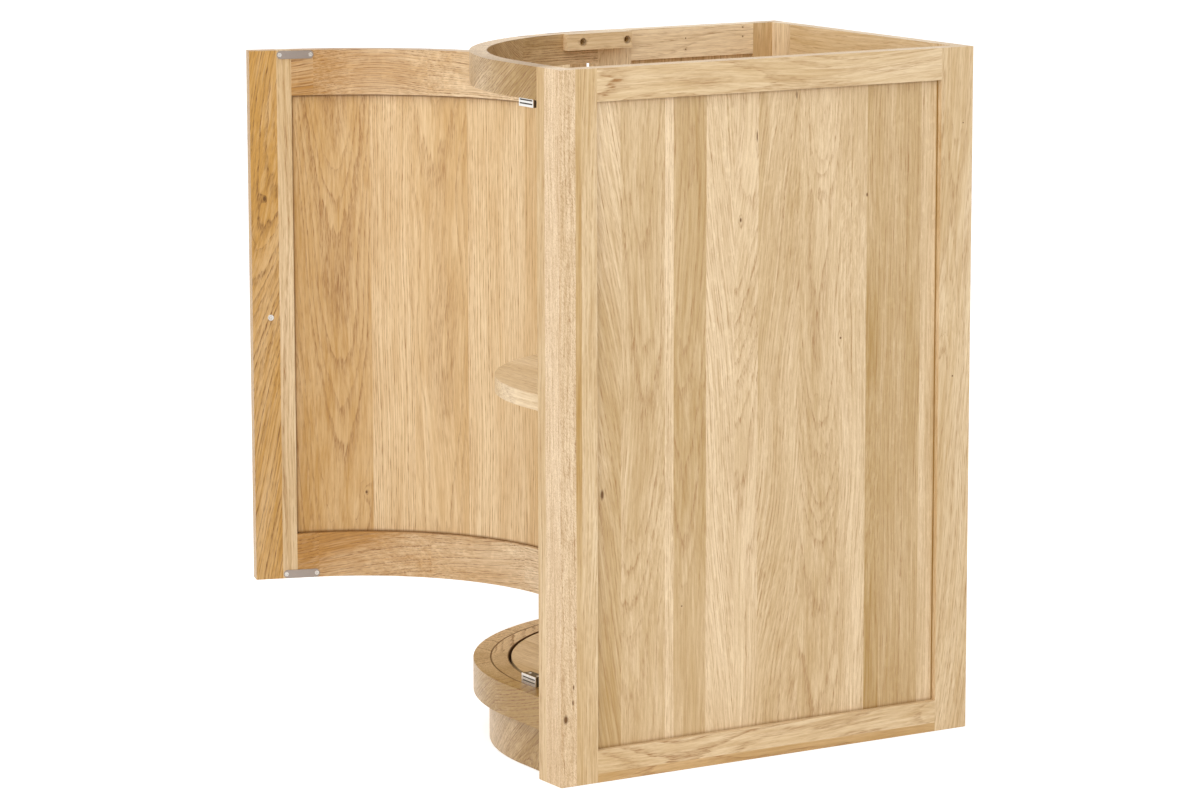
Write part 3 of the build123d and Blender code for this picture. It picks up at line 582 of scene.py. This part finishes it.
# Radii of the middles of the rings, of the top rail's inner face with its painted shade, of
# the joint between the bottom rail and its stop, and of the joint between the stop and the floor
# board, where the stop has a painted shadow in the gap
ring_radius, stop_radius, plinth_radius = 0.309, 0.287, 0.291
inner_face_radius, joint_radius, floor_radius = 0.298, 0.2978, 0.2757
# The top rail's inner face gets a painted shade, and the stop a painted shadow at the gap by the floor
# board
inner_face_shade = (inner_face_radius, 0.1, 0.8)
ring_joint, floor_gap_shadow = (joint_radius, 1.0, 0), (floor_radius, 1.0, 0)
length_angle = math.radians(28)

# The plinth has a painted shade in its top 6 mm, below the ring that stands out over it
shaded_top = 0.006
plinth_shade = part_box("curved_plinth")[1].z - shaded_top
for i, (name, radius, tone, marks, shade_from) in enumerate((
    ("top_curved_rail", ring_radius, -0.72, (inner_face_shade,), out_of_reach),
    ("bottom_curved_rail", ring_radius, -0.40, (ring_joint,), out_of_reach),
    ("bottom_curved_stop", stop_radius, -0.46, (ring_joint, floor_gap_shadow), out_of_reach),
    ("curved_plinth", plinth_radius, -0.70, (), plinth_shade),
)):
    ring_axes = in_lengths(
        curve_middle, radius, math.pi, length_angle, tone, spread=0.1, fade=0.45, rise=(-0.1, 1.0),
        seed=31 * i, marks=marks, shade_from=shade_from,
    )
    dress(name, oak(
        name.replace("_", " "), ring_axes, sway=0.06, pale="#EED1A6", golden="#A68447",
        brown="#85592C", figure=1.1, fleck=0.2,
    ))

# Blocks and battens behind the joints: offcuts of the same oak, screwed or glued on. The rims of
# the left block's sunk screw holes get a dark ring of painted shadow.
left_screw_level = 0.8595
left_screw_places = (-0.3205, -0.2540)
counterbore_shadow_radius = 0.0046
block_middle = middle_of("left_fixing_block")
# Painted shadow in the left block's two sunk screw holes: a dark ring round each rim
counterbore_shadows = [
    (left_screw_level - block_middle.z, y - block_middle.y, counterbore_shadow_radius, 1) for y in left_screw_places
]
for i, (name, along, across) in enumerate((
    ("left_fixing_block", y_axis, z_axis),
    ("post_fixing_block", x_axis, z_axis),
    ("plinth_block_left", z_axis, y_axis),
    ("plinth_block_right", z_axis, x_axis),
    ("floor_batten_back", x_axis, z_axis),
    ("floor_batten_left", y_axis, z_axis),
    ("floor_batten_right", y_axis, z_axis),
)):
    dress(name, oak(
        name.replace("_", " "), straight(middle_of(name), along, across),
        heart=(0.01 * (i - 3), -0.03), tone=0.4, seed=40 + i,
        dark_spots=counterbore_shadows if name == "left_fixing_block" else (),
    ))

# The floor board and the shelf: edge-jointed oak boards with their grain from side to side, the
# shelf with its front corner rounded inside the door's curve. The floor board lies on battens and
# the shelf on pegs.
level_boards = (
    (-0.17, 0.02, -0.06, 0.01, 0.02, 0.42, 0.32, 0.0, 0.04),
    (-0.06, 0.02, -0.06, -0.01, 0.03, 0.36, 0.40, 0.0, 0.05),
    (0.05, 0.20, -0.05, 0.01, 0.01, 0.32, 0.62, 0.0, 0.03),
    (0.16, 0.22, -0.06, 0.01, 0.02, 0.40, 0.30, 0.0, 0.03),
    (0.29,),
)
front_board = (-0.29, 0.00, -0.06, 0.01, 0.02, 0.36, 0.45, 0.0, 0.04)
for name, boards in (("floor_board", (front_board, *level_boards)), ("shelf", level_boards)):
    board_axes = straight(middle_of(name), x_axis, y_axis)
    dress(name, oak("of the " + name.replace("_", " "), jointed(board_axes, boards)))

# The curved rails' dowels and the shelf's pegs: turned beech, pressed into its holes. Beech is
# redder than oak and nearly plain, so it is drawn as oak with hardly any figure.
for i, name in enumerate(("curved_rail_dowels", "shelf_pegs")):
    dress(name, oak(
        name.replace("_", " "), straight(middle_of(name), y_axis, x_axis), tone=0.4, seed=55 + i,
        figure=0.1, pale="#E2BE92", golden="#C99B6B", kind="plain beech",
    ))

# The door's stiles: straight oak uprights, mortised for the rails. The one at the free edge is
# glued from a dark and a pale strip. open_turn carries the shut door to where it stands open.
hinge_place = Vector(frame["joints"][0]["pos_m"])
open_angle = math.radians(-107)
open_turn = Matrix.Rotation(open_angle, 3, "Z")
door_x, door_y = open_turn @ x_axis, open_turn @ y_axis
dress("door_stile_outer_strip", oak(
    "of the door's outer strip", straight(middle_of("door_stile_outer_strip"), z_axis, door_x),
    heart=(0.03, -0.03), slope=(-0.18, 0.05), tone=0.95, seed=60, figure=0.8, sway=0.06,
    ring=0.0040, dark_spots=((0.0, 0.162, 0.0027, 1.5),), golden="#C8984C", brown="#7C5226",
))
dress("door_stile_inner_strip", oak(
    "of the door's inner strip", straight(middle_of("door_stile_inner_strip"), z_axis, door_x),
    heart=(0.06, -0.05), tone=0.42, seed=61,
))
dress("door_hinge_stile", oak(
    "of the door's hinge stile", straight(middle_of("door_hinge_stile"), z_axis, door_y),
    heart=(0.02, -0.05), slope=(0.01, 0.02), tone=0.3, seed=62,
))

# The door's curved rails: lengths of oak, glued end to end and sawn to the curve as the carcass
# rails are. Two lengths meet at the angle door_joint, counted round the middle of the curve.
door_middle = open_turn @ (curve_middle - hinge_place) + hinge_place
door_middle.z = 0
door_joint, door_length = math.radians(130.6), math.radians(30)
for i, (name, tone, fade) in enumerate((
    ("door_top_rail", -0.10, 0.30), ("door_bottom_rail", 0.08, 0.29)
)):
    rail_axes = in_lengths(
        door_middle, ring_radius, door_joint - 2 * door_length, door_length, tone, spread=0.1,
        fade=fade, rise=(-0.16, 0.12), seed=9 * i,
    )
    dress(name, oak(
        name.replace("_", " "), rail_axes, sway=0.12, figure=0.8, golden="#BA8844",
        brown="#85592C", fleck=0.1,
    ))

# The door's panel: thin oak boards, jointed and bent to the curve, with upright grain. It sits
# loose in the grooves of the stiles and rails.


def bent(centre, radius, middle_angle):
    """Board axes of a bowed board with upright grain: the arc's length from the middle of the
    board, the depth from its inner face, and the height."""

    def place_of(tree):
        here = add(tree, "TexCoord", {})["Object"]
        here = add(tree, "VectorMath", {0: here, 1: centre}, operation="SUBTRACT")[0]
        parts = add(tree, "SeparateXYZ", {0: here})
        angle = add(tree, "Math", {0: parts[1], 1: parts[0]}, operation="ARCTAN2")[0]
        angle = add(tree, "Math", {0: angle, 1: middle_angle}, operation="SUBTRACT")[0]
        arc = add(tree, "Math", {0: angle, 1: radius}, operation="MULTIPLY")[0]
        flat = add(tree, "VectorMath", {0: here, 1: (1, 1, 0)}, operation="MULTIPLY")[0]
        depth = add(tree, "VectorMath", {0: flat}, operation="LENGTH")["Value"]
        depth = add(tree, "Math", {0: depth, 1: radius}, operation="SUBTRACT")[0]
        return {"Place": add(tree, "CombineXYZ", {0: arc, 1: depth, 2: parts[2]})[0]}

    return place_of


door_boards = (
    (-0.20, -0.35, -0.05, 0.00, 0.010, 0.34, 0.46, 0.0, 0.02),
    (-0.10, -0.30, -0.05, 0.00, 0.010, 0.32, 0.34, 0.0, 0.02),
    (0.00, 0.050, -0.09, 0.00, 0.030, 0.44, 0.46, 0.0, 0.05),
    (0.08, 0.30, -0.05, 0.00, 0.015, 0.32, 0.38, 0.0, 0.03),
    (0.1395, 0.186, -0.06, 0.01, 0.070, 0.50, 0.70, 0.0, 0.03),
    (0.26,),
)
panel_radius, panel_angle = 0.305, math.radians(120)
panel_middle = door_middle + z_axis * middle_of("door_panel").z

# The stiles' inner edges, in angles from the panel's middle
hinge_stile_angle, free_stile_angle = math.radians(-34.2), math.radians(46.3)
door_across = (hinge_stile_angle * panel_radius, free_stile_angle * panel_radius)
door_along = (
    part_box("door_bottom_rail")[1].z - panel_middle.z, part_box("door_top_rail")[0].z - panel_middle.z
)
door_axes = grooved(
    bent(panel_middle, panel_radius, panel_angle), door_across, door_along, darkness=1.0
)
dress("door_panel", oak(
    "of the door panel", jointed(door_axes, door_boards), dark_spots=((0.149, -0.246, 0.0016, 1.5),),
    bends=((0.149, -0.246, 0.006, 1.5),), flake=0.0, golden="#C0924A", pale="#F2D8AE", figure=0.8,
))

# The knob: turned from one piece of oak with upright grain, and held by a screw from the inner
# face of the door's outer strip.
dress("door_knob", oak(
    "of the knob", straight(middle_of("door_knob"), z_axis, door_x), tone=0.6, seed=80
))

# Butt hinges: extruded brass leaves with a brass pin, lacquered. The level lines of drawing give
# the brass a satin sheen.
gloss_change = 0.08


def metal(name, colour, roughness, lines_per_metre):
    """A metal with fine marks that change its gloss a little: noise with the given number of marks
    per metre in X, Y and Z, so a smaller number draws the marks out in that direction. Real marks
    are finer, too fine to show in the render."""
    material, tree = new_material(name)
    here = add(tree, "TexCoord", {})["Object"]
    lines = add(tree, "Mapping", {"Vector": here, "Scale": lines_per_metre})[0]
    lines = add(tree, "TexNoise", {"Vector": lines, "Scale": 1.0, "Detail": 3.0})["Fac"]
    gloss = add(tree, "MapRange", {
        "Value": lines, "To Min": roughness - gloss_change, "To Max": roughness + gloss_change
    })[0]
    shader = add(
        tree, "BsdfPrincipled", {"Base Color": srgb(colour), "Metallic": 1.0, "Roughness": gloss}
    )[0]
    add(tree, "OutputMaterial", {"Surface": shader})
    return material


# Lines 2.5 mm long and a third of a millimetre apart
drawing_lines = (400, 400, 3000)
brass = metal("satin brass", "#C9A86A", 0.32, drawing_lines)
for level in ("lower", "upper"):
    for part in ("hinge_wall_leaf", "hinge_door_leaf", "hinge_pin"):
        dress(f"{level}_{part}", brass)

# Magnetic catches: a brown moulded body behind a pressed steel face with two slots. One is screwed
# onto the bottom rail and one under the post's fixing block, and the door has a steel strike plate
# for each. The faces are bright, and the plates a darker and warmer grey.

# Level rolling lines on both steels, drawn 0.4 mm apart
rolling_lines = (300, 300, 2500)
bright_steel = metal("bright pressed steel", "#EDEBE7", 0.34, rolling_lines)
rolled_steel = metal("rolled steel", "#A59B94", 0.36, rolling_lines)

# The body's fine spark texture makes its brown and its gloss uneven. A real one has grains of 0.1
# mm, too fine to show, so they are drawn 0.8 mm wide.
spark_width, spark_depth = 0.0008, 0.0001
plastic, tree = new_material("moulded brown plastic")
here = add(tree, "TexCoord", {})["Object"]
spark = add(tree, "TexNoise", {"Vector": here, "Scale": 1 / spark_width, "Detail": 2.0})["Fac"]
colour = add(
    tree, "Mix", {"Factor": spark, "A": srgb("#3C3224"), "B": srgb("#574C38")}, data_type="RGBA"
)["Result"]
gloss = add(tree, "MapRange", {"Value": spark, "To Min": 0.35, "To Max": 0.55})[0]
bump = add(tree, "Bump", {"Height": spark, "Strength": 0.2, "Distance": spark_depth})[0]
shader = add(tree, "BsdfPrincipled", {"Base Color": colour, "Roughness": gloss, "Normal": bump})[0]
add(tree, "OutputMaterial", {"Surface": shader})
for level in ("lower", "upper"):
    dress(f"{level}_catch_body", plastic)
    dress(f"{level}_catch_face", bright_steel)
    dress(f"{level}_strike_plate", rolled_steel)

# Screws: cold-headed steel with a cross recess. Zinc plating makes most a pale bright grey, and a
# yellow passivation makes those in the two fixing blocks a dull gold. The hinges have brass ones.
# All are countersunk but the knob's, which has a pan head.

# The plating's grains are drawn 1.1 mm wide, as real ones are too fine to show
plating_grains = (900, 900, 900)
zinc = metal("zinc-plated steel", "#E2E0DC", 0.28, plating_grains)
yellow_zinc = metal("yellow passivated steel", "#B89C6C", 0.34, plating_grains)

# Points round a screw, rings on its face, and the share of a pan head's height with one more ring
spokes = 40
top_rings = 16
edge_share = 0.7

# The cross recess, in shares of the head's diameter: half the width of a bar, half its length, the
# depth, and the width of the slope at its edge
bar_share, reach_share, recess_share, slope_share = 0.09, 0.3, 0.22, 0.06


def screws(name, body, material, slot_name, places, length, shank, head, rim=0.0, proud=0.0):
    """Screws of one size as one piece. The profile goes from the point along the shank and the cone
    of the head to its rim, and each ring of it is carried round the axis. The head's face is flat,
    level with the wood or proud of it. A cross is sunk into it where a point lies inside either
    bar: the gap to a bar is the larger of the gaps across it and along it."""
    sunk = proud == 0
    cone = rim + (head - shank) / 2 if sunk else 0.0
    shank_radius = [shank / 2, shank / 2, head / 2, head / 2]
    shank_depth = [length - shank, cone, rim if sunk else 0.0, -edge_share * proud]
    face_radius = np.linspace(1, 0, top_rings + 1)[:-1] * head / 2
    radius = np.array(shank_radius + list(face_radius))
    depth = np.array(shank_depth + [-proud] * top_rings)
    angle = np.arange(spokes) * 2 * math.pi / spokes
    across = radius[:, None] * np.cos(angle)
    up = radius[:, None] * np.sin(angle)
    depth = np.repeat(depth[:, None], spokes, axis=1)
    bar, reach = bar_share * head, reach_share * head
    inside = np.minimum(
        np.maximum(abs(across) - bar, abs(up) - reach), np.maximum(abs(up) - bar, abs(across) - reach)
    )
    recess = recess_share * head * np.clip(0.5 - inside / (slope_share * head), 0, 1)
    recess[:-top_rings] = 0
    depth = depth + recess
    points = np.stack([across, up, depth], axis=-1).reshape(-1, 3)
    points = np.vstack([points, [[0, 0, length], [0, 0, depth[-1, 0]]]])
    rows = len(radius)
    ring, spoke = np.meshgrid(np.arange(rows - 1), np.arange(spokes), indexing="ij")
    after = (spoke + 1) % spokes
    quads = np.stack(
        [ring * spokes + spoke, (ring + 1) * spokes + spoke, (ring + 1) * spokes + after,
         ring * spokes + after], axis=-1,
    ).reshape(-1, 4)
    spoke = np.arange(spokes)
    after = (spoke + 1) % spokes
    tip = np.stack([np.full(spokes, len(points) - 2), spoke, after], axis=-1)
    last = (rows - 1) * spokes
    crown = np.stack([last + spoke, np.full(spokes, len(points) - 1), last + after], axis=-1)
    verts, faces = [], []
    for start, way in places:
        turn = Vector(way).to_track_quat("Z", "Y").to_matrix()
        shift = len(verts) * len(points)
        verts.append(points @ np.array(turn).T + np.array(start))
        for block in (quads, tip, crown):
            faces.extend((block + shift).tolist())
    mesh = bpy.data.meshes.new(name)
    mesh.from_pydata(np.vstack(verts).tolist(), [], faces)
    mesh.materials.append(material)
    piece = bpy.data.objects.new(name, mesh)
    bpy.context.scene.collection.objects.link(piece)
    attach(piece, body)
    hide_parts(name)


def opened(points, way):
    """Places and direction of screws in the shut door, turned with it about the hinge."""
    turned = [open_turn @ (Vector(point) - hinge_place) + hinge_place for point in points]
    return [(point, open_turn @ Vector(way)) for point in turned]


block_screw = dict(length=0.026, shank=0.004, head=0.0075, rim=0.0004)
small_screw = dict(length=0.014, shank=0.0028, head=0.0056, rim=0.0004)
catch_screw = dict(length=0.024, shank=0.0028, head=0.0056, rim=0.0004)
pan_screw = dict(length=0.036, shank=0.004, head=0.008, proud=0.0022)

# Two screws in each fixing block, their heads sunk to these planes
left_seat, post_seat = -0.190, -0.565
post_screw_level, post_screw_places = 0.846, (0.148, 0.181)
block_heads = [((left_seat, y, left_screw_level), (-1, 0, 0)) for y in left_screw_places]
block_heads += [((x, post_seat, post_screw_level), (0, -1, 0)) for x in post_screw_places]
screws("fixing_block_screws", "carcass", yellow_zinc, "steel_screw", block_heads, **block_screw)

# Three screws in each leaf, the middle one farther from the pin by the stagger
half_pin, leaf_face = 0.025, 0.00125
screw_pitch, screw_reach, stagger = 0.017, 0.009, 0.003
wall_heads, door_heads = [], []
for level in ("lower", "upper"):
    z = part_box(f"{level}_hinge_pin")[0].z + half_pin
    for i in (-1, 0, 1):
        x = hinge_place.x + screw_reach + (0 if i else stagger)
        wall_heads.append(((x, hinge_place.y + leaf_face, z + screw_pitch * i), (0, 1, 0)))
        door_heads.append((x, hinge_place.y - leaf_face, z + screw_pitch * i))
screws("hinge_wall_screws", "carcass", brass, "brass_hinge", wall_heads, **small_screw)
screws("hinge_door_screws", "door", brass, "brass_hinge", opened(door_heads, (0, -1, 0)), **small_screw)

# Two screws in each strike plate, on the door's inner face
door_inner_y, plate_thickness = -0.578, 0.001
catch_x, plate_levels, plate_screw_reach = 0.107, (0.110, 0.821), 0.021
plate_heads = opened([
    (catch_x + side * plate_screw_reach, door_inner_y + plate_thickness, z)
    for z in plate_levels for side in (-1, 1)
], (0, -1, 0))
screws("strike_plate_screws", "door", zinc, "steel_screw", plate_heads, **small_screw)

# Two screws through each catch's body: from above into the bottom rail, and from below into the
# post's fixing block
catch_face_thickness, catch_depth, catch_screw_reach = 0.0012, 0.014, 0.010
catch_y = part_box("lower_catch_face")[0].y + (catch_face_thickness + catch_depth) / 2
catch_levels = ((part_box("lower_catch_body")[1].z, -1), (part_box("upper_catch_body")[0].z, 1))
catch_heads = [
    ((catch_x + side * catch_screw_reach, catch_y, z), (0, 0, way))
    for z, way in catch_levels for side in (-1, 1)
]
screws("catch_screws", "carcass", zinc, "steel_screw", catch_heads, **catch_screw)

knob_x = 0.145
knob_heads = opened([(knob_x, door_inner_y, middle_of("door_knob").z)], (0, -1, 0))
screws("knob_screw", "door", zinc, "steel_screw", knob_heads, **pan_screw)

# The floor: a wide sheet of white studio paper, half a millimetre below the cabinet. It looks white
# to the camera and in gloss, and keeps the cabinet's soft shadow.
half_floor, floor_level = 20.0, -0.0005
paper_glow = 0.45


def seen_directly(tree):
    """1 for a ray that the camera sees, also by way of gloss or glass, and 0 for all others."""
    ray = add(tree, "LightPath", {})
    seen = ray["Is Camera Ray"]
    for kind in ("Is Glossy Ray", "Is Transmission Ray"):
        seen = add(tree, "Math", {0: seen, 1: ray[kind]}, operation="MAXIMUM")[0]
    return seen


floor_mesh = bpy.data.meshes.new("studio_floor")
corners = [
    (half_floor * i, half_floor * j, floor_level) for i, j in ((-1, -1), (1, -1), (1, 1), (-1, 1))
]
floor_mesh.from_pydata(corners, [], [(0, 1, 2, 3)])
studio_floor = bpy.data.objects.new("studio_floor", floor_mesh)
bpy.context.scene.collection.objects.link(studio_floor)
paper, tree = new_material("white studio paper")
glow = add(tree, "Math", {0: seen_directly(tree), 1: paper_glow}, operation="MULTIPLY")[0]
shader = add(tree, "BsdfPrincipled", {
    "Base Color": srgb("#F4F4F4"), "Roughness": 0.9, "Emission Color": (1, 1, 1, 1),
    "Emission Strength": glow,
})[0]
add(tree, "OutputMaterial", {"Surface": shader})
floor_mesh.materials.append(paper)

# Light: an even white studio, which looks white and lights the cabinet a little less, with three
# large soft lamps above its front and its front right.
room_light = 0.75
world = bpy.data.worlds.new("studio")
bpy.context.scene.world = world
world.use_nodes = True
tree = world.node_tree
tree.nodes.clear()
seen = seen_directly(tree)
strength = add(tree, "MapRange", {"Value": seen, "To Min": room_light, "To Max": 1.0})[0]
sky = add(tree, "Background", {"Color": (1, 1, 1, 1), "Strength": strength})[0]
add(tree, "OutputWorld", {"Surface": sky})
lamp_target, lamp_size = Vector((0, -0.3, 0.45)), 2.5
for name, place, watts in (
    ("key", (-0.2, -3.4, 3.0), 13),
    ("fill", (2.9, -3.3, 2.0), 45),
    ("top", (1.5, -1.9, 3.8), 44),
):
    light = bpy.data.lights.new(name, "AREA")
    light.size = lamp_size
    light.energy = watts
    lamp = bpy.data.objects.new(name, light)
    lamp.location = place
    lamp.rotation_euler = (lamp_target - Vector(place)).to_track_quat("-Z", "Y").to_euler()
    bpy.context.scene.collection.objects.link(lamp)

# Camera: a long lens from the right of the front, a little above the cabinet, with its place and
# angles fitted to the photograph. It has no shift.
camera_place = Vector((4.760, -3.290, 1.372))
pitch, yaw, roll = math.radians(9.64), math.radians(58.81), math.radians(-0.10)
camera = bpy.data.objects.new("camera", bpy.data.cameras.new("camera"))
camera.data.sensor_width = 36.0
camera.data.lens = 134.63
camera.data.clip_end = 200.0
level_view = Matrix.Rotation(yaw, 4, "Z") @ Matrix.Rotation(math.pi / 2 - pitch, 4, "X")
camera.matrix_world = (
    Matrix.Translation(camera_place) @ level_view @ Matrix.Rotation(roll, 4, "Z")
)
bpy.context.scene.collection.objects.link(camera)
bpy.context.scene.camera = camera
bpy.context.scene.view_settings.view_transform = "Standard"
